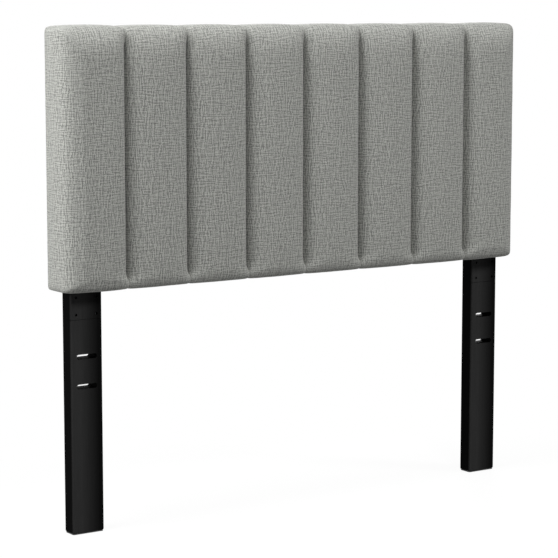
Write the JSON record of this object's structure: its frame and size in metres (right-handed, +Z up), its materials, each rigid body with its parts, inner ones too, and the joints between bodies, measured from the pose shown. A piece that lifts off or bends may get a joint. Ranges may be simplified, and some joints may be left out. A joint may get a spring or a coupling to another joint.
{
  "type": "upholstered headboard",
  "caption": "Upholstered headboard with vertical padded channels in a grey linen-look fabric, on black wooden legs with slots for a bed frame.",
  "frame": {"origin": "on the floor, below the middle of the whole headboard in width and depth", "axes": "+X along the width, to the right as seen from the padded front; -Y out of the padded front; +Z up"},
  "size_m": [1.422, 0.1128, 1.262],
  "materials": {
    "upholstery_fabric": "matte",
    "polyurethane_foam": "matte",
    "plywood": "matte",
    "pine": "matte",
    "beech": "matte",
    "black_painted_wood": "satin",
    "dust_cover_cloth": "matte",
    "zinc_plated_steel": "satin",
    "black_steel": "satin",
    "black_nylon": "matte"
  },
  "bodies": {
    "root": {"channel_cover_1": "upholstery_fabric", "channel_cover_2": "upholstery_fabric", "channel_cover_3": "upholstery_fabric", "channel_cover_4": "upholstery_fabric", "channel_cover_5": "upholstery_fabric", "channel_cover_6": "upholstery_fabric", "channel_cover_7": "upholstery_fabric", "channel_cover_8": "upholstery_fabric", "channel_foam_1": "polyurethane_foam", "channel_foam_2": "polyurethane_foam", "channel_foam_3": "polyurethane_foam", "channel_foam_4": "polyurethane_foam", "channel_foam_5": "polyurethane_foam", "channel_foam_6": "polyurethane_foam", "channel_foam_7": "polyurethane_foam", "channel_foam_8": "polyurethane_foam", "face_board": "plywood", "back_board": "plywood", "top_rail": "pine", "bottom_rail": "pine", "end_stile_left": "pine", "end_stile_right": "pine", "centre_stile": "pine", "corner_block_top_left": "pine", "corner_block_top_right": "pine", "corner_block_bottom_left": "pine", "corner_block_bottom_right": "pine", "frame_dowels": "beech", "leg_post_left": "black_painted_wood", "leg_post_right": "black_painted_wood", "lower_leg_left": "black_painted_wood", "lower_leg_right": "black_painted_wood", "dust_cover": "dust_cover_cloth", "dust_cover_staples": "zinc_plated_steel", "face_board_screws": "zinc_plated_steel", "back_board_screws": "zinc_plated_steel", "end_stile_screws": "zinc_plated_steel", "glide_screws": "zinc_plated_steel", "leg_inserts_left": "zinc_plated_steel", "leg_inserts_right": "zinc_plated_steel", "leg_bolts_left": "black_steel", "leg_bolts_right": "black_steel", "leg_washers_left": "black_steel", "leg_washers_right": "black_steel", "leg_glide_left": "black_nylon", "leg_glide_right": "black_nylon"}
  },
  "joints": []
}
